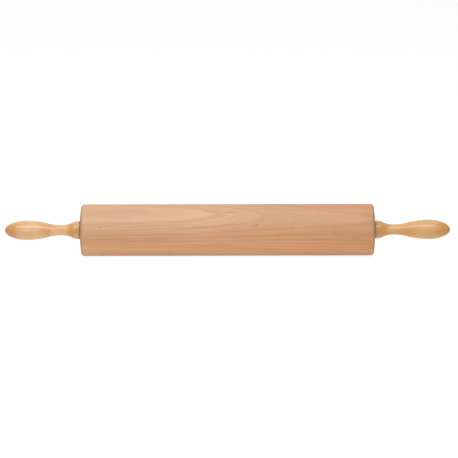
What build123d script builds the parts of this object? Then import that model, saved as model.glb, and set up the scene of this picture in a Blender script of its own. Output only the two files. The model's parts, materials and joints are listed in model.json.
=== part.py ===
from build123d import *
from math import asin, cos, degrees, pi, radians, sin, sqrt, tan
import os

# Baker's rolling pin with handles. A hardwood barrel turns on a ball bearing at each end, round a
# steel axle whose splined ends are pressed into two turned handles.
# Lengths are in millimetres. X runs along the axle and +Z is up. The origin is the middle of the
# barrel, on its axis. The pieces of an end are drawn for the +X end, the right one.

# Barrel
barrel_length = 400.0
barrel_diameter = 70.0
barrel_bore_diameter = 12.0
crown_height = 2.6  # how far each end face falls back from its bearing seat to its rim
rim_radius = 4.0
seat_edge_break = 0.3

# Handles
handle_gap = 0.5  # from the barrel's end to the handle's root
handle_length = 101.3
root_diameter = 24.6
root_edge_radius = 0.5
root_bead_length = 7.8
root_bead_fall = 0.9  # how far the bead's round back drops towards the cove
cove_step = 0.25  # from the bead down into the cove
neck_diameter = 14.1
neck_from_root = 25.0
belly_diameter = 26.6
belly_from_tip = 29.5
swell_arc_share = 0.38  # of the curve from neck to belly, the hollow part

# Axle, which slides through the bearings and is held by its splines
axle_grip_length = 60.0  # of each end inside its handle
spline_length = 45.0
spline_count = 24
spline_depth = 0.22
spline_press = 0.08  # how far the splines bite into the handle's wood
axle_end_chamfer = 0.6
glue_pocket_length = 2.0
drill_point_angle = 118.0

# Ball bearing of the 8 x 22 x 7 size
bearing_bore_diameter = 8.0
bearing_outer_diameter = 22.0
bearing_width = 7.0
bearing_recess = 1.0  # from the barrel's end to the bearing
bearing_edge_break = 0.3
ball_count = 7
ball_diameter = 3.969
raceway_share = 0.52  # groove radius as a share of the ball's diameter
shoulder_share = 0.14  # groove depth as a share of the ball's diameter

# Cage, two pressed halves held by rivets
cage_sheet = 0.35
cage_width = 2.3
pocket_clearance = 0.1
rivet_diameter = 0.7
rivet_head_height = 0.25
rivet_head_share = 0.7  # of the room between a rivet's centre and the next pocket

# Shields, pressed into a step in the outer ring
shield_sheet = 0.3
shield_rim_length = 0.55
shield_step_depth = 0.7
shield_inset = 0.2  # from the bearing's face to the shield
shield_gap = 0.25  # between the shield and the turning inner ring

# Housing, a bush that holds the bearing in the wood
housing_wall = 1.5
housing_floor = 2.0
housing_lip = 2.5  # how far its floor reaches in under the outer ring

# Fits, all radial
slide_clearance = 0.02
glue_clearance = 0.03
ball_clearance = 0.04
cut_overrun = 1.0

# Worked out from the sizes above
barrel_end = barrel_length / 2
barrel_radius = barrel_diameter / 2
bearing_radius = bearing_outer_diameter / 2
seat_radius = bearing_radius + housing_wall
seat_depth = bearing_recess + bearing_width + housing_floor
bearing_middle = barrel_end - bearing_recess - bearing_width / 2
axle_radius = bearing_bore_diameter / 2 - slide_clearance
root_x = barrel_end + handle_gap
tip_x = root_x + handle_length
axle_end = root_x + axle_grip_length
ball_radius = ball_diameter / 2
pitch_radius = (bearing_bore_diameter + bearing_outer_diameter) / 4
raceway_radius = raceway_share * ball_diameter
inner_groove_bottom = pitch_radius - ball_radius - ball_clearance
outer_groove_bottom = pitch_radius + ball_radius + ball_clearance
inner_land_radius = inner_groove_bottom + shoulder_share * ball_diameter
outer_land_radius = outer_groove_bottom - shoulder_share * ball_diameter
shield_seat_radius = outer_land_radius + shield_step_depth
pocket_radius = ball_radius + pocket_clearance
pocket_outer_radius = pocket_radius + cage_sheet


def turned(profile):
    """The solid swept by a profile drawn in X and radius."""
    return revolve(profile, axis=Axis.X)


def block(x_low, x_high, radius_low, radius_high):
    """A rectangle in X and radius, which turns into a ring or a disc."""
    width, height = x_high - x_low, radius_high - radius_low
    return Pos(x_low + width / 2, radius_low + height / 2) * Rectangle(width, height)


def corners_at(face, radius):
    """The corners of a profile that lie at a radius."""
    return [v for v in face.vertices() if abs(v.Y - radius) < slide_clearance / 2]


def s_curve(start, end, start_share):
    """Two arcs that leave start and reach end along X and meet on the line between them."""
    bend = tuple(a + (b - a) * start_share for a, b in zip(start, end))
    return [
        TangentArc(start, bend, tangent=(1, 0)),
        TangentArc(end, bend, tangent=(-1, 0)),
    ]


def round_the_axis(count, first_angle, radius):
    """Evenly spaced places round the X axis."""
    angles = [radians(first_angle + 360 * k / count) for k in range(count)]
    return [Pos(0, radius * cos(a), radius * sin(a)) for a in angles]


def barrel():
    """The roller: crowned ends, a clearance bore for the axle and a seat for each bearing housing."""
    wall = barrel_radius**2 - seat_radius**2
    crown_depth = (wall / crown_height + crown_height) / 2
    crown_radius = sqrt(crown_depth**2 + seat_radius**2)
    crown_centre = barrel_end - crown_depth
    low, high = (degrees(asin(r / crown_radius)) for r in (seat_radius, barrel_radius))
    crown = CenterArc((crown_centre, 0), crown_radius, low, arc_size=high - low)
    rim_x = barrel_end - crown_height
    outline = Curve() + [
        crown,
        mirror(crown, about=Plane.YZ),
        Line((-rim_x, barrel_radius), (rim_x, barrel_radius)),
        Polyline((barrel_end, seat_radius), (barrel_end, 0), (-barrel_end, 0), (-barrel_end, seat_radius)),
    ]
    face = make_face(outline.edges())
    face = fillet(corners_at(face, barrel_radius), rim_radius)
    body = turned(face)
    seat = block(barrel_end - seat_depth, barrel_end + cut_overrun, 0, seat_radius)
    lead_in = Polyline(
        (barrel_end - seat_edge_break, seat_radius),
        (barrel_end + cut_overrun, seat_radius + seat_edge_break + cut_overrun),
        (barrel_end + cut_overrun, seat_radius),
        close=True,
    )
    seat_cut = turned(seat) + turned(make_face(lead_in))
    bore = turned(block(-barrel_end, barrel_end, 0, barrel_bore_diameter / 2))
    roller = body - bore - seat_cut - mirror(seat_cut, about=Plane.YZ)
    return Rot(90, 0, 0) * roller  # the seam of its turned faces on top, a whole face underneath


def handle():
    """A turned grip: root bead, hollow cove, narrow neck, long belly and round tip, bored for the axle."""
    root_radius = root_diameter / 2
    root_face = (root_x, root_radius - root_edge_radius)
    bead_start = (root_x + root_edge_radius, root_radius)
    bead_end = (root_x + root_bead_length, root_radius - root_bead_fall)
    cove_start = (bead_end[0], bead_end[1] - cove_step)
    neck = (root_x + neck_from_root, neck_diameter / 2)
    belly = (tip_x - belly_from_tip, belly_diameter / 2)
    outline = Curve() + [
        Polyline((tip_x, 0), (root_x, 0), root_face),
        TangentArc(root_face, bead_start, tangent=(0, 1)),
        TangentArc(bead_start, bead_end, tangent=(1, 0)),
        Line(bead_end, cove_start),
        TangentArc(neck, cove_start, tangent=(-1, 0)),
        *s_curve(neck, belly, swell_arc_share),
        EllipticalCenterArc((belly[0], 0), belly_from_tip, belly[1], arc_size=90),
    ]
    spline_start = axle_end - spline_length
    press_radius = axle_radius - spline_press
    bore_end = axle_end + glue_pocket_length
    point_length = press_radius / tan(radians(drill_point_angle / 2))
    drilling = Polyline(
        (root_x - cut_overrun, 0),
        (root_x - cut_overrun, axle_radius + slide_clearance),
        (spline_start, axle_radius + slide_clearance),
        (spline_start, press_radius),
        (bore_end, press_radius),
        (bore_end + point_length, 0),
        close=True,
    )
    return turned(make_face(outline.edges())) - turned(make_face(drilling))


def axle_rod():
    """A steel rod through both bearings, with V grooves rolled into the ends that the handles grip."""
    blank = block(-axle_end, axle_end, 0, axle_radius)
    rod = turned(chamfer(corners_at(blank, axle_radius), axle_end_chamfer))
    groove = make_face(
        Polyline(
            (0, axle_radius - spline_depth),
            (cut_overrun + spline_depth, axle_radius + cut_overrun),
            (-cut_overrun - spline_depth, axle_radius + cut_overrun),
            close=True,
        )
    )
    cutter = extrude(Plane.YZ * groove, spline_length + cut_overrun)
    starts = (axle_end - spline_length, -axle_end - cut_overrun)
    turns = [360 * k / spline_count for k in range(spline_count)]
    return rod - [Pos(x, 0, 0) * Rot(a, 0, 0) * cutter for x in starts for a in turns]


def spacer_washer():
    """A nylon ring between the handle's root and the bearing's inner ring."""
    return turned(block(barrel_end - bearing_recess, root_x, bearing_bore_diameter / 2, inner_land_radius))


def bearing_housing():
    """A bush glued into the barrel, open outwards, whose floor stops the bearing's outer ring."""
    outer = seat_radius - glue_clearance
    inner = bearing_radius + slide_clearance
    floor_x = barrel_end - seat_depth + housing_floor
    wall = block(barrel_end - seat_depth, barrel_end, inner, outer)
    floor = block(barrel_end - seat_depth, floor_x, bearing_radius - housing_lip, outer)
    return turned(wall + floor)


def bearing_rings():
    """The outer and inner ring, each with its ball groove, about the bearing's middle."""
    half = bearing_width / 2
    step = half - shield_inset - shield_rim_length
    outer = chamfer(
        corners_at(block(-half, half, outer_land_radius, bearing_radius), bearing_radius),
        bearing_edge_break,
    )
    outer -= Pos(0, outer_groove_bottom - raceway_radius) * Circle(raceway_radius)
    outer -= block(step, half + cut_overrun, 0, shield_seat_radius)
    outer -= block(-half - cut_overrun, -step, 0, shield_seat_radius)
    bore_radius = bearing_bore_diameter / 2
    inner = chamfer(
        corners_at(block(-half, half, bore_radius, inner_land_radius), bore_radius),
        bearing_edge_break,
    )
    inner -= Pos(0, inner_groove_bottom + raceway_radius) * Circle(raceway_radius)
    return turned(outer), turned(inner)


def shield():
    """The outboard dust shield: a thin washer with a rim that sits in the outer ring's step."""
    face_x = bearing_width / 2 - shield_inset
    outer = shield_seat_radius - slide_clearance
    inner = inner_land_radius + shield_gap
    plate = block(face_x - shield_sheet, face_x, inner, outer)
    rim = block(face_x - shield_rim_length, face_x, outer - shield_sheet, outer)
    return turned(plate + rim)


def balls():
    """The ball complement, as separate solids."""
    return [place * Sphere(ball_radius) for place in round_the_axis(ball_count, 90, pitch_radius)]


def rivet_places():
    """The places midway between neighbouring balls."""
    return round_the_axis(ball_count, 90 + 180 / ball_count, pitch_radius)


def cage_half():
    """The outboard half of the cage: a flat ring with a pressed pocket over each ball."""
    low, high = pitch_radius - cage_width / 2, pitch_radius + cage_width / 2
    band = turned(block(0, pocket_outer_radius, low, high))
    plate = turned(block(0, cage_sheet, low, high))
    ball_places = round_the_axis(ball_count, 90, pitch_radius)
    domes = [place * Sphere(pocket_outer_radius) for place in ball_places]
    pockets = [place * Sphere(pocket_radius) for place in ball_places]
    hole = turned(block(-cut_overrun, cage_sheet + cut_overrun, 0, rivet_diameter / 2 + slide_clearance))
    return (band & (plate + domes)) - pockets - [place * hole for place in rivet_places()]


def rivets():
    """The cage rivets, headed on both sides, as separate solids."""
    room = 2 * pitch_radius * sin(pi / (2 * ball_count)) - pocket_outer_radius
    shank = block(-cage_sheet, cage_sheet, 0, rivet_diameter / 2)
    head = block(cage_sheet, cage_sheet + rivet_head_height, 0, rivet_head_share * room)
    rivet = turned(shank + head + mirror(head, about=Plane.YZ))
    return [place * rivet for place in rivet_places()]


def end_pieces():
    """The right end's pieces by name, in place."""
    outer_ring, inner_ring = bearing_rings()
    outboard_shield, outboard_half = shield(), cage_half()
    bearing = {
        "bearing_outer_ring": [outer_ring],
        "bearing_inner_ring": [inner_ring],
        "bearing_balls": balls(),
        "bearing_cage_outboard_half": [outboard_half],
        "bearing_cage_inboard_half": [mirror(outboard_half, about=Plane.YZ)],
        "bearing_cage_rivets": rivets(),
        "bearing_outboard_shield": [outboard_shield],
        "bearing_inboard_shield": [mirror(outboard_shield, about=Plane.YZ)],
    }
    placed = {name: [Pos(bearing_middle, 0, 0) * s for s in solids] for name, solids in bearing.items()}
    return {
        "handle": [handle()],
        "spacer_washer": [spacer_washer()],
        "bearing_housing": [bearing_housing()],
        **placed,
    }


def write(name, shapes):
    """One STEP file that holds a node's solids."""
    solids = [solid for shape in shapes for solid in shape.solids()]
    export_step(Compound(children=solids) if len(solids) > 1 else solids[0], f"parts/{name}.step")


os.makedirs("parts", exist_ok=True)
write("barrel", [barrel()])
write("axle_rod", [axle_rod()])
for piece, shapes in end_pieces().items():
    write(f"right_{piece}", shapes)
    write(f"left_{piece}", [Rot(0, 0, 180) * shape for shape in shapes])
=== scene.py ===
import json
from math import asin, cos, radians, sin

import bpy
from mathutils import Matrix, Vector


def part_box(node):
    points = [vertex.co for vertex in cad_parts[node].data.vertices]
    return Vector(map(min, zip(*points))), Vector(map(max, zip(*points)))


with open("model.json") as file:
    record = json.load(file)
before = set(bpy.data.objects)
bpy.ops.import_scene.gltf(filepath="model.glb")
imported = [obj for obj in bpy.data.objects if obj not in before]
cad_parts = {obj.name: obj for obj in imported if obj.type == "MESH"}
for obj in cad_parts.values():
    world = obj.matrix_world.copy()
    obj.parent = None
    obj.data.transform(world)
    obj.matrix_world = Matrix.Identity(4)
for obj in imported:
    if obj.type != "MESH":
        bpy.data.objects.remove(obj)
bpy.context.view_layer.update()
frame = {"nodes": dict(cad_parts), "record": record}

# A baker's rolling pin on a white table: oiled maple barrel, lacquered beech handles, and the
# bearings and axle that are out of sight inside. Everything is in metres. Pattern sizes are in
# millimetres, because that is how they are measured on real wood.

nodes = frame["nodes"]
mmPerMetre = 1000.0

# where the pin's middle lies in the photo, in pixels, and how far the photo is turned, in degrees
photo = {"pixels": 458, "middleX": 227.5, "middleY": 229.85, "mmPerPixel": 1.3558, "roll": 0.13}
camera = {"elevation": 12.0, "distance": 4.0, "sensor": 36.0}


def hexColour(code):  # sRGB hex to the linear colour that shaders want
    parts = [int(code[i:i + 2], 16) / 255 for i in (1, 3, 5)]
    linear = [c / 12.92 if c <= 0.04045 else ((c + 0.055) / 1.055) ** 2.4 for c in parts]
    return (*linear, 1.0)


def addNode(tree, kind, inputs=None, **settings):  # a node, its settings, and what feeds its inputs
    made = tree.nodes.new(kind)
    for name, value in settings.items():
        setattr(made, name, value)
    for name, value in (inputs or {}).items():
        if isinstance(value, bpy.types.Node):
            value = value.outputs[0]
        if isinstance(value, bpy.types.NodeSocket):
            tree.links.new(value, made.inputs[name])
        else:
            made.inputs[name].default_value = value
    return made


def startMaterial(name):  # an empty material with its tree
    material = bpy.data.materials.new(name)
    material.use_nodes = True
    material.node_tree.nodes.clear()
    return material, material.node_tree


def finishMaterial(tree, shader):
    addNode(tree, "ShaderNodeOutputMaterial", {"Surface": shader})


def ownPlace(tree):  # a point's place on its own piece: the source node, and the place in millimetres
    source = addNode(tree, "ShaderNodeTexCoord")
    mm = addNode(tree, "ShaderNodeVectorMath", {0: source.outputs["Object"], "Scale": mmPerMetre},
                 operation="SCALE")
    return source, mm


# Wood, worked out as a log: growth rings round a pith line that runs beside the piece, so that the
# sides, the round ends and the end grain all belong together.

yearEnd = 0.94  # a year's line is darkest just before the next year's pale wood starts
noiseLow, noiseHigh = 0.25, 0.75  # nearly every value of a noise lies between these
cloudLow, cloudHigh = 0.3, 0.7


def woodFigure(tree, wood):
    place, mm = ownPlace(tree)
    along = addNode(tree, "ShaderNodeSeparateXYZ", {0: mm})

    # the grain is never straight: a slow bend of the tree and a quicker wobble of its lines
    bent = mm
    for bend in wood["bends"]:
        slowness = [1 / length for length in bend["over"]]
        slow = addNode(tree, "ShaderNodeVectorMath", {0: mm, 1: slowness, 2: bend["start"]},
                       operation="MULTIPLY_ADD")
        wander = addNode(tree, "ShaderNodeTexNoise", {"Vector": slow, "Scale": 1.0, "Detail": 1.0})
        centred = addNode(tree, "ShaderNodeVectorMath", {0: wander.outputs["Color"], 1: (0.5, 0.5, 0.5)},
                          operation="SUBTRACT")
        bent = addNode(tree, "ShaderNodeVectorMath", {0: centred, 1: (bend["by"],) * 3, 2: bent},
                       operation="MULTIPLY_ADD")

    # rings: distance to the pith, which lies in one place at the left end and in another at the right
    change = addNode(tree, "ShaderNodeMapRange",
                     {"Value": along, "From Min": wood["pithRun"][0], "From Max": wood["pithRun"][1]},
                     interpolation_type="SMOOTHSTEP")
    pith = addNode(tree, "ShaderNodeMix", {0: change, 4: wood["pithLeft"], 5: wood["pithRight"]},
                   data_type="VECTOR").outputs[1]
    fromPith = addNode(tree, "ShaderNodeVectorMath", {0: bent, 1: pith}, operation="SUBTRACT")
    across = addNode(tree, "ShaderNodeVectorMath", {0: fromPith, 1: (0.0, 1.0, 1.0)}, operation="MULTIPLY")
    radius = addNode(tree, "ShaderNodeVectorMath", {0: across}, operation="LENGTH").outputs["Value"]
    outside = addNode(tree, "ShaderNodeMath", {0: radius, 1: wood["lineAt"]}, operation="SUBTRACT")
    years = addNode(tree, "ShaderNodeMath", {0: outside, 1: wood["ringWidth"]}, operation="DIVIDE")
    phase = addNode(tree, "ShaderNodeMath", {0: years}, operation="FRACT")
    yearNumber = addNode(tree, "ShaderNodeMath", {0: years}, operation="FLOOR")
    yearTone = addNode(tree, "ShaderNodeTexWhiteNoise", {"W": yearNumber}, noise_dimensions="1D")
    rise = addNode(tree, "ShaderNodeMapRange",
                   {"Value": phase, "From Min": wood["lateStart"], "From Max": yearEnd},
                   interpolation_type="SMOOTHSTEP")
    fall = addNode(tree, "ShaderNodeMapRange", {"Value": phase, "From Min": 1.0, "From Max": yearEnd},
                   interpolation_type="SMOOTHSTEP")
    line = addNode(tree, "ShaderNodeMath", {0: rise, 1: fall}, operation="MULTIPLY")
    lineTone = addNode(tree, "ShaderNodeMapRange", {"Value": yearTone, "To Min": wood["faintestYear"]})
    rings = addNode(tree, "ShaderNodeMath", {0: line, 1: lineTone}, operation="MULTIPLY")

    # between two rings, weaker lines that come and go along the length
    seasons = addNode(tree, "ShaderNodeCombineXYZ", {0: along, 1: years})
    drawn = addNode(tree, "ShaderNodeVectorMath", {0: seasons, 1: (1 / wood["bandLength"], wood["bands"], 1.0)},
                    operation="MULTIPLY")
    bands = addNode(tree, "ShaderNodeTexNoise",
                    {"Vector": drawn, "Scale": 1.0, "Detail": 2.0, "Roughness": 0.6}, noise_dimensions="2D")

    # fibres: long and fine, along the grain. Real ones are under 0.1 mm wide and are drawn coarser here
    thin = addNode(tree, "ShaderNodeVectorMath", {0: bent, 1: wood["fibre"]}, operation="DIVIDE")
    fibres = addNode(tree, "ShaderNodeTexNoise",
                     {"Vector": thin, "Scale": 1.0, "Detail": 3.0, "Roughness": 0.6})

    # clouds: the colour drifts from pinker to yellower over a few centimetres
    wide = addNode(tree, "ShaderNodeVectorMath", {0: bent, 1: wood["cloud"]}, operation="DIVIDE")
    clouds = addNode(tree, "ShaderNodeTexNoise",
                     {"Vector": wide, "Scale": 1.0, "Detail": 3.0, "Roughness": 0.55})
    cloudy = addNode(tree, "ShaderNodeMapRange",
                     {"Value": clouds, "From Min": cloudLow, "From Max": cloudHigh},
                     interpolation_type="SMOOTHSTEP")

    # how far the surface turns from side grain to end grain
    facing = addNode(tree, "ShaderNodeSeparateXYZ", {0: place.outputs["Normal"]})
    endGrain = addNode(tree, "ShaderNodeMath", {0: facing}, operation="ABSOLUTE")
    return {"mm": mm, "bent": bent, "change": change, "outside": outside, "rings": rings, "bands": bands,
            "fibres": fibres, "clouds": cloudy, "facing": facing, "endGrain": endGrain}


def woodColour(tree, figure, wood):  # pale to warm in clouds, with other shades at the right end
    ends = [addNode(tree, "ShaderNodeMix", {0: figure["clouds"], 6: hexColour(pale), 7: hexColour(warm)},
                    data_type="RGBA").outputs[2] for pale, warm in (wood["leftHexes"], wood["rightHexes"])]
    return addNode(tree, "ShaderNodeMix", {0: figure["change"], 6: ends[0], 7: ends[1]},
                   data_type="RGBA").outputs[2]


def withRings(tree, figure, wood, base):  # the darker line that ends each year
    ringed = addNode(tree, "ShaderNodeMath", {0: figure["rings"], 1: wood["ringShow"]}, operation="MULTIPLY")
    return addNode(tree, "ShaderNodeMix", {0: ringed, 6: base, 7: hexColour(wood["lineHex"])},
                   data_type="RGBA").outputs[2]


def fleckLayer(tree, figure, wood):  # short dark dashes, scattered in the wood
    spread = addNode(tree, "ShaderNodeVectorMath", {0: figure["bent"], 1: wood["fleckCell"]},
                     operation="DIVIDE")
    cells = addNode(tree, "ShaderNodeTexVoronoi", {"Vector": spread, "Scale": 1.0, "Randomness": 1.0})
    spot = addNode(tree, "ShaderNodeMapRange",
                   {"Value": cells.outputs["Distance"], "From Min": wood["fleckSize"],
                    "From Max": wood["fleckSize"] * 0.25}, interpolation_type="SMOOTHSTEP")
    pick = addNode(tree, "ShaderNodeSeparateXYZ", {0: cells.outputs["Color"]})
    kept = addNode(tree, "ShaderNodeMapRange",
                   {"Value": pick, "From Min": 1.0 - wood["fleckShare"], "From Max": 1.0})
    return addNode(tree, "ShaderNodeMath", {0: spot, 1: kept}, operation="MULTIPLY")


def withFlecks(tree, flecks, wood, base):
    shown = addNode(tree, "ShaderNodeMath", {0: flecks, 1: wood["fleckShow"]}, operation="MULTIPLY")
    return addNode(tree, "ShaderNodeMix", {0: shown, 6: base, 7: hexColour(wood["fleckHex"])},
                   data_type="RGBA").outputs[2]


def acrossGrain(tree, figure, cut, base):  # how far the cut runs across the grain, and its colour there
    amount = addNode(tree, "ShaderNodeMapRange",
                     {"Value": figure["endGrain"], "From Min": cut["from"], "From Max": cut["to"],
                      "To Max": cut["show"]}, interpolation_type="SMOOTHSTEP")
    colour = addNode(tree, "ShaderNodeMix", {0: amount, 6: base, 7: hexColour(cut["hex"])},
                     data_type="RGBA").outputs[2]
    return amount, colour


def shaded(tree, figure, wood, base):  # bands and fibres make the wood a little lighter or darker
    shades = [addNode(tree, "ShaderNodeMapRange",
                      {"Value": figure[pattern], "From Min": noiseLow, "From Max": noiseHigh,
                       "To Min": 1.0 - show / 2, "To Max": 1.0 + show / 2})
              for pattern, show in (("bands", wood["bandShow"]), ("fibres", wood["fibreShow"]))]
    shade = addNode(tree, "ShaderNodeMath", {0: shades[0], 1: shades[1]}, operation="MULTIPLY")
    return addNode(tree, "ShaderNodeVectorMath", {0: base, "Scale": shade}, operation="SCALE")


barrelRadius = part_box("barrel")[1].z * mmPerMetre


def onBarrel(across, down):  # a pixel of the photo to millimetres on the barrel, and how far round it lies
    x = (across - photo["middleX"]) * photo["mmPerPixel"]
    middle = photo["middleY"] - (across - photo["pixels"] / 2) * sin(radians(photo["roll"]))
    height = (middle - down) * photo["mmPerPixel"] / barrelRadius
    turn = asin(max(-1.0, min(1.0, height))) + radians(camera["elevation"])
    return Vector((x, -barrelRadius * cos(turn), barrelRadius * sin(turn))), turn


def markLayer(tree, mm, wood):  # the dashes and streaks that this barrel has on its front
    darkest = None
    for across, down, length, rise, strength in wood["marks"]:
        middle, turn = onBarrel(across, down)
        lie = Matrix.Rotation(-turn, 3, "X") @ Matrix.Rotation(-radians(rise), 3, "Y")
        local = addNode(tree, "ShaderNodeMapping",
                        {"Vector": mm, "Location": middle, "Rotation": lie.to_euler(),
                         "Scale": (length / 2, wood["markThickness"] * 2, wood["markThickness"] / 2)},
                        vector_type="TEXTURE")
        away = addNode(tree, "ShaderNodeVectorMath", {0: local}, operation="LENGTH").outputs["Value"]
        mark = addNode(tree, "ShaderNodeMapRange",
                       {"Value": away, "From Min": 1.0, "From Max": wood["markCore"], "To Max": strength},
                       interpolation_type="SMOOTHSTEP")
        darkest = mark if darkest is None else addNode(tree, "ShaderNodeMath", {0: darkest, 1: mark},
                                                       operation="MAXIMUM")
    return darkest


barrelWood = {  # hard maple, turned, sanded to 240 grit and oiled
    # The barrel's right-end hexes are darker partly for the wood and partly as painted shade for light that
    # comes from the left.
    "leftHexes": ("#c5946a", "#bb875b"), "rightHexes": ("#c18b5e", "#b78153"), "lineHex": "#a5734c",
    # The pale zone towards the barrel's top and front is partly sapwood and partly painted highlight for the
    # lit top.
    "sapAndLitTopHex": "#caa180", "sapAndLitTopFrom": -14.0, "sapAndLitTopTo": 3.5, "sapAndLitTopShow": 0.73,  # mm outside the first line
    # The end grain's darker orange is partly the oiled end grain and partly painted shade for the shaded ends
    # beside the handles.
    "endGrain": {"hex": "#985918", "from": 0.3, "to": 1.0, "show": 0.85},
    "ringWidth": 3.4, "lineAt": 112.8, "lateStart": 0.5, "faintestYear": 0.55, "ringShow": 0.42,
    "pithRun": (-80.0, 170.0), "pithLeft": (0.0, 49.9, -62.5), "pithRight": (0.0, 59.0, -38.6),
    "bends": [{"by": 5.0, "over": (210.0, 60.0, 60.0), "start": (3.1, 0.0, 0.0)},
              {"by": 1.0, "over": (30.0, 8.0, 8.0), "start": (0.0, 5.0, 0.0)}],
    "bands": 2.2, "bandLength": 160.0, "bandShow": 0.16,
    "fibre": (22.0, 0.8, 0.8), "fibreShow": 0.07, "cloud": (120.0, 22.0, 22.0),
    "fleckHex": "#8a5830", "fleckCell": (34.0, 10.0, 10.0), "fleckSize": 0.09, "fleckShare": 0.3,
    "fleckShow": 1.0, "frontEnds": -0.1, "backStarts": 0.2,  # how far a surface that has no marks faces back
    "markThickness": 1.9, "markCore": 0.15,
    "marks": [  # pixel across, pixel down, length in mm, rise in degrees, strength
        (134.8, 210.5, 7.0, 1.0, 0.50), (114.7, 222.4, 6.0, 0.0, 0.45), (132.2, 223.5, 4.0, 0.0, 0.45),
        (101.0, 227.5, 8.0, 0.0, 0.45), (109.0, 241.1, 7.0, 0.0, 0.25), (83.3, 235.4, 3.0, 0.0, 0.25),
        (168.6, 250.8, 5.0, 0.0, 0.20), (123.6, 207.3, 6.0, 1.0, 0.25), (195.2, 225.8, 6.0, 3.0, 0.50),
        (181.7, 225.5, 8.0, 8.0, 0.35), (189.1, 240.3, 4.5, 2.0, 0.40), (256.3, 224.4, 8.0, -6.0, 0.95),
        (244.2, 234.9, 6.0, 2.0, 0.25), (306.1, 209.3, 6.0, 5.0, 0.55), (311.9, 206.7, 6.0, -4.0, 0.50),
        (318.6, 213.6, 5.0, 10.0, 0.50), (291.2, 227.3, 8.0, -5.0, 0.50), (334.8, 232.8, 6.0, 0.0, 0.50),
        (301.0, 243.7, 6.0, 0.0, 0.40), (341.0, 207.0, 6.0, 0.0, 0.30), (285.4, 215.5, 4.0, 5.0, 0.20),
        (353.0, 235.0, 5.0, 0.0, 0.25), (356.0, 227.4, 5.0, 0.0, 0.25),
        (215.3, 211.4, 14.0, -5.0, 0.45), (230.5, 212.5, 30.0, -1.0, 0.70), (331.8, 230.2, 9.0, 2.0, 0.30),
        (233.3, 223.2, 8.0, 20.0, 0.30), (240.0, 220.6, 14.0, 20.0, 0.30),
        (136.0, 223.8, 78.0, -0.3, 0.22), (160.0, 225.7, 75.0, 0.5, 0.25), (181.0, 230.4, 58.0, 1.5, 0.25),
        (106.0, 226.4, 52.0, 0.0, 0.25),
    ],
    "roughness": 0.68, "roughSpread": 0.06, "endRougher": 0.3, "ior": 1.55, "grainHeight": 0.00004,
    "nap": 0.2, "napRoughness": 0.45,  # sanding leaves short fibres that pale the wood at its rims
}


def barrelMaple(wood):  # pinkish, quiet, close grain with a soft sheen: it never looks glossy
    material, tree = startMaterial("oiledHardMaple")
    figure = woodFigure(tree, wood)
    heart = woodColour(tree, figure, wood)
    sapAndLitTop = addNode(tree, "ShaderNodeMapRange",
                  {"Value": figure["outside"], "From Min": wood["sapAndLitTopFrom"], "From Max": wood["sapAndLitTopTo"],
                   "To Max": wood["sapAndLitTopShow"]}, interpolation_type="SMOOTHSTEP")  # paler towards the bark and the lit top: partly sapwood, partly painted highlight
    base = addNode(tree, "ShaderNodeMix", {0: sapAndLitTop, 6: heart, 7: hexColour(wood["sapAndLitTopHex"])},
                   data_type="RGBA").outputs[2]
    lined = withRings(tree, figure, wood, base)

    # flecks: as photographed on the front, scattered on the rest
    marks = markLayer(tree, figure["mm"], wood)
    scattered = fleckLayer(tree, figure, wood)
    back = addNode(tree, "ShaderNodeMapRange",
                   {"Value": figure["facing"].outputs[1], "From Min": wood["frontEnds"],
                    "From Max": wood["backStarts"]}, interpolation_type="SMOOTHSTEP")
    behind = addNode(tree, "ShaderNodeMath", {0: scattered, 1: back}, operation="MULTIPLY")
    flecks = addNode(tree, "ShaderNodeMath", {0: marks, 1: behind}, operation="MAXIMUM")
    flecked = withFlecks(tree, flecks, wood, lined)

    # end grain colour, partly painted shade on the ends beside the handles
    ended, whole = acrossGrain(tree, figure, wood["endGrain"], flecked)
    rough = addNode(tree, "ShaderNodeMapRange",
                    {"Value": figure["fibres"], "To Min": wood["roughness"] - wood["roughSpread"],
                     "To Max": wood["roughness"] + wood["roughSpread"]})
    rougher = addNode(tree, "ShaderNodeMath", {0: ended, 1: wood["endRougher"], 2: rough},
                      operation="MULTIPLY_ADD")  # open pores at the ends
    bump = addNode(tree, "ShaderNodeBump",
                   {"Height": figure["fibres"], "Distance": wood["grainHeight"], "Strength": 1.0})
    shader = addNode(tree, "ShaderNodeBsdfPrincipled",
                     {"Base Color": shaded(tree, figure, wood, whole), "Roughness": rougher,
                      "IOR": wood["ior"], "Normal": bump,
                      "Sheen Weight": wood["nap"], "Sheen Roughness": wood["napRoughness"]})
    finishMaterial(tree, shader)
    return material


handleWood = {  # steamed beech, turned and dipped in clear lacquer
    "leftHexes": ("#dcb388", "#d1a26c"), "rightHexes": ("#d3a572", "#cc9c63"), "lineHex": "#b07a46",
    "slope": {"hex": "#ca904d", "from": 0.08, "to": 0.36, "show": 0.8},
    "tip": {"hex": "#c2763e", "from": 0.55, "to": 0.95, "show": 0.9},
    "ringWidth": 2.0, "lineAt": 43.1, "lateStart": 0.5, "faintestYear": 0.3, "ringShow": 0.3,
    "pithRun": (-1.0, 1.0), "pithLeft": (0.0, 28.7, -8.8), "pithRight": (0.0, -20.0, 40.0),
    "bends": [{"by": 1.4, "over": (50.0, 20.0, 20.0), "start": (0.0, 0.0, 0.0)},
              {"by": 0.4, "over": (12.0, 4.0, 4.0), "start": (0.0, 2.0, 0.0)}],
    "bands": 1.7, "bandLength": 60.0, "bandShow": 0.1,
    "fibre": (11.0, 0.5, 0.5), "fibreShow": 0.08, "cloud": (24.0, 9.0, 9.0),
    "fleckHex": "#a9713f", "fleckCell": (5.0, 1.3, 1.3), "fleckSize": 0.22, "fleckShare": 0.5,
    "fleckShow": 0.25, "roughness": 0.5, "grainHeight": 0.00003,
    "ior": 1.15,  # wood that is wet with lacquer hardly reflects, the lacquer over it does
    "coatWeight": 0.6, "coatRoughness": 0.18, "coatIor": 1.5,
}


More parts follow.
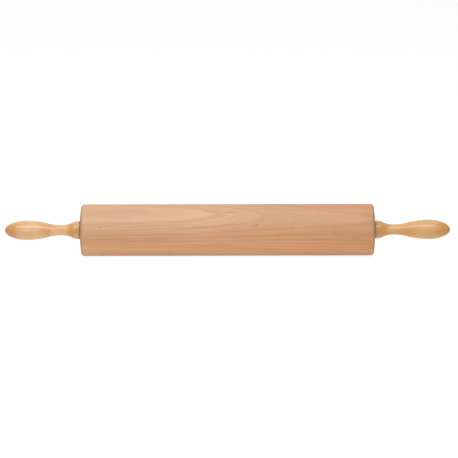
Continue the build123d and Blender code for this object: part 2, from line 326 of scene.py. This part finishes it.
def handleBeech(wood):  # yellower than the barrel, darker where the cut runs across the grain, wet-looking
    material, tree = startMaterial("lacqueredBeech")
    figure = woodFigure(tree, wood)
    lined = withRings(tree, figure, wood, woodColour(tree, figure, wood))
    flecked = withFlecks(tree, fleckLayer(tree, figure, wood), wood, lined)
    golden = acrossGrain(tree, figure, wood["slope"], flecked)[1]
    whole = acrossGrain(tree, figure, wood["tip"], golden)[1]
    bump = addNode(tree, "ShaderNodeBump",
                   {"Height": figure["fibres"], "Distance": wood["grainHeight"], "Strength": 1.0})
    shader = addNode(tree, "ShaderNodeBsdfPrincipled",
                     {"Base Color": shaded(tree, figure, wood, whole), "Roughness": wood["roughness"],
                      "IOR": wood["ior"], "Normal": bump, "Coat Weight": wood["coatWeight"],
                      "Coat Roughness": wood["coatRoughness"], "Coat IOR": wood["coatIor"]})
    finishMaterial(tree, shader)
    return material


print("wood: maple and beech")
woods = {"barrel_maple": barrelMaple(barrelWood), "handle_hardwood": handleBeech(handleWood)}

# The metals and plastics inside. Roughness goes from the first value to the second with the tool
# marks, whose grain is in mm along X, Y and Z. Real marks are finer and are drawn coarser here.

metalMarkDepth = 0.000004
plasticMarkDepth = 0.00001

metals = {
    "axle_steel": {"name": "drawnSteel", "hex": "#b9babd", "roughness": (0.23, 0.38),
                   "grain": (60.0, 0.25, 0.25)},  # bright, with fine lines along its length from the die
    "bearing_steel": {"name": "groundBearingSteel", "hex": "#c3c4c8", "roughness": (0.16, 0.28),
                      "grain": (0.12, 4.0, 4.0)},  # fine grinding lines round the ring
    "ball_steel": {"name": "lappedBallSteel", "hex": "#cfd0d3", "roughness": (0.04, 0.07),
                   "grain": (0.5, 0.5, 0.5)},  # mirror bright
    "cage_steel": {"name": "pressedMildSteel", "hex": "#a8a59f", "roughness": (0.305, 0.53),
                   "grain": (0.8, 0.8, 0.8)},  # duller and a little brown, tumbled smooth
    "shield_steel": {"name": "zincPlatedSteel", "hex": "#bfc3c7", "roughness": (0.24, 0.42),
                     "grain": (0.6, 0.6, 0.6)},  # pale and faintly blue
}

plastics = {
    "housing_acetal": {"name": "blackAcetal", "hex": "#2a2724", "roughness": (0.29, 0.41), "ior": 1.48,
                       "grain": (0.3, 3.0, 3.0)},  # machined, a dull waxy black with faint tool rings
    "spacer_nylon": {"name": "brownNylon", "hex": "#7a5335", "roughness": (0.39, 0.51), "ior": 1.53,
                     "grain": (0.4, 0.4, 0.4)},  # turned, a warm brown that stays dull
}


def innerMaterial(finish, markDepth, surface):  # one colour, with tool marks in its gloss and its surface
    material, tree = startMaterial(finish["name"])
    mm = ownPlace(tree)[1]
    stretched = addNode(tree, "ShaderNodeVectorMath", {0: mm, 1: finish["grain"]}, operation="DIVIDE")
    marks = addNode(tree, "ShaderNodeTexNoise", {"Vector": stretched, "Scale": 1.0, "Detail": 2.0})
    rough = addNode(tree, "ShaderNodeMapRange",
                    {"Value": marks, "To Min": finish["roughness"][0], "To Max": finish["roughness"][1]})
    bump = addNode(tree, "ShaderNodeBump", {"Height": marks, "Distance": markDepth, "Strength": 1.0})
    shader = addNode(tree, "ShaderNodeBsdfPrincipled",
                     {"Base Color": hexColour(finish["hex"]), "Roughness": rough, "Normal": bump, **surface})
    finishMaterial(tree, shader)
    return material


print("metals and plastics")
finishes = dict(woods)
for slot, metal in metals.items():
    finishes[slot] = innerMaterial(metal, metalMarkDepth, {"Metallic": 1.0})
for slot, plastic in plastics.items():
    finishes[slot] = innerMaterial(plastic, plasticMarkDepth, {"IOR": plastic["ior"]})
for part in frame["record"]["subparts"]:
    nodes[part["node"]].material_slots[0].material = finishes[part["material_slot"]]

# Floor, light and camera. The table and the sky are plain white to the rays that see them. The rays
# that only carry light find ordinary paper and a dim sky there, so the white adds no light to the pin.


def seeingRays(tree):  # 1 for the camera's rays and for mirrored and refracted ones, 0 for the others
    rays = addNode(tree, "ShaderNodeLightPath")
    seen = addNode(tree, "ShaderNodeMath", {0: rays.outputs["Is Camera Ray"], 1: rays.outputs["Is Glossy Ray"]},
                   operation="ADD")
    return addNode(tree, "ShaderNodeMath", {0: seen, 1: rays.outputs["Is Transmission Ray"]},
                   operation="ADD", use_clamp=True)


floor = {"size": 40.0, "paperHex": "#faf9f7", "glow": 0.88, "seenHex": "#898989"}


def makeFloor(floor):
    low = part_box("barrel")[0].z  # the barrel lies on the table
    half = floor["size"] / 2
    corners = [(-half, -half, low), (half, -half, low), (half, half, low), (-half, half, low)]
    mesh = bpy.data.meshes.new("table")
    mesh.from_pydata(corners, [], [(0, 1, 2, 3)])
    table = bpy.data.objects.new("table", mesh)
    bpy.context.scene.collection.objects.link(table)
    material, tree = startMaterial("whitePaper")
    shown = seeingRays(tree)
    # what is seen is mostly glow, so that the shadow under the pin stays faint
    strength = addNode(tree, "ShaderNodeMath", {0: shown, 1: floor["glow"]}, operation="MULTIPLY")
    glow = addNode(tree, "ShaderNodeEmission", {"Strength": strength})
    colour = addNode(tree, "ShaderNodeMix",
                     {0: shown, 6: hexColour(floor["paperHex"]), 7: hexColour(floor["seenHex"])},
                     data_type="RGBA").outputs[2]
    paper = addNode(tree, "ShaderNodeBsdfDiffuse", {"Color": colour})
    finishMaterial(tree, addNode(tree, "ShaderNodeAddShader", {0: glow, 1: paper}))
    mesh.materials.append(material)


makeFloor(floor)

sky = {"hex": "#ffffff", "strength": 0.32}


def makeSky(sky):
    world = bpy.data.worlds.new("studio")
    bpy.context.scene.world = world
    world.use_nodes = True
    tree = world.node_tree
    tree.nodes.clear()
    strength = addNode(tree, "ShaderNodeMapRange",
                       {"Value": seeingRays(tree), "To Min": sky["strength"], "To Max": 1.0})
    light = addNode(tree, "ShaderNodeBackground", {"Color": hexColour(sky["hex"]), "Strength": strength})
    addNode(tree, "ShaderNodeOutputWorld", {"Surface": light})


makeSky(sky)

# Soft boxes: azimuth 0 is the camera's side, elevation is above the table, aside is to the left.
# Overhead and key light the wood. Sheen and streak are only seen mirrored, streak as the pale line
# along the lacquer. Panel lies face up just over the table and lights the undersides.
lamps = {
    "overhead": {"azimuth": 0.0, "elevation": 76.0, "distance": 1.5, "aside": 0.2, "width": 2.2,
                 "height": 0.8, "watts": 17.0, "diffuse": True, "glossy": False},
    "key": {"azimuth": 0.0, "elevation": 53.0, "distance": 2.5, "aside": 0.2, "width": 3.0,
            "height": 1.0, "watts": 18.5, "diffuse": True, "glossy": False},
    "sheen": {"azimuth": 0.0, "elevation": 110.0, "distance": 1.5, "aside": 0.2, "width": 2.2,
              "height": 1.6, "watts": 10.5, "diffuse": False, "glossy": True},
    "streak": {"azimuth": 0.0, "elevation": 57.0, "distance": 2.5, "aside": 0.2, "width": 3.0,
               "height": 1.0, "watts": 58.0, "diffuse": False, "glossy": True},
    "panel": {"azimuth": 0.0, "elevation": -90.0, "distance": 0.0345, "aside": 0.0, "width": 0.56,
              "height": 1.0, "watts": 0.63, "diffuse": True, "glossy": False},
}


def towards(azimuth, elevation):
    a, e = radians(azimuth), radians(elevation)
    return Vector((sin(a) * cos(e), -cos(a) * cos(e), sin(e)))


def makeLamp(name, lamp):
    data = bpy.data.lights.new(name, "AREA")
    data.shape = "RECTANGLE"
    data.size = lamp["width"]
    data.size_y = lamp["height"]
    data.energy = lamp["watts"]
    box = bpy.data.objects.new(name, data)
    box.visible_camera = False
    box.visible_diffuse = lamp["diffuse"]
    box.visible_glossy = lamp["glossy"]
    bpy.context.scene.collection.objects.link(box)
    way = towards(lamp["azimuth"], lamp["elevation"])
    box.location = way * lamp["distance"] - Vector((lamp["aside"], 0.0, 0.0))
    box.rotation_mode = "QUATERNION"
    box.rotation_quaternion = way.to_track_quat("Z", "Y")


for name, lamp in lamps.items():
    makeLamp(name, lamp)


def makeCamera(photo, camera):  # from the front and a little above, with the whole photo as its view
    data = bpy.data.cameras.new("camera")
    data.sensor_width = camera["sensor"]
    widthMm = photo["pixels"] * photo["mmPerPixel"]
    data.lens = camera["sensor"] * camera["distance"] * mmPerMetre / widthMm
    data.clip_end = 100.0
    eye = bpy.data.objects.new("camera", data)
    bpy.context.scene.collection.objects.link(eye)
    back = towards(0.0, camera["elevation"])
    roll = Matrix.Rotation(radians(photo["roll"]), 3, "Z")
    turn = back.to_track_quat("Z", "Y").to_matrix() @ roll.inverted()
    half = photo["pixels"] / 2
    sideways = (half - photo["middleX"]) * photo["mmPerPixel"] / mmPerMetre
    upwards = (photo["middleY"] - half) * photo["mmPerPixel"] / mmPerMetre
    place = back * camera["distance"] + turn @ Vector((sideways, upwards, 0.0))
    eye.matrix_world = Matrix.Translation(place) @ turn.to_4x4()
    bpy.context.scene.camera = eye


makeCamera(photo, camera)
print("floor, light and camera")

bpy.context.scene.view_settings.view_transform = "Standard"
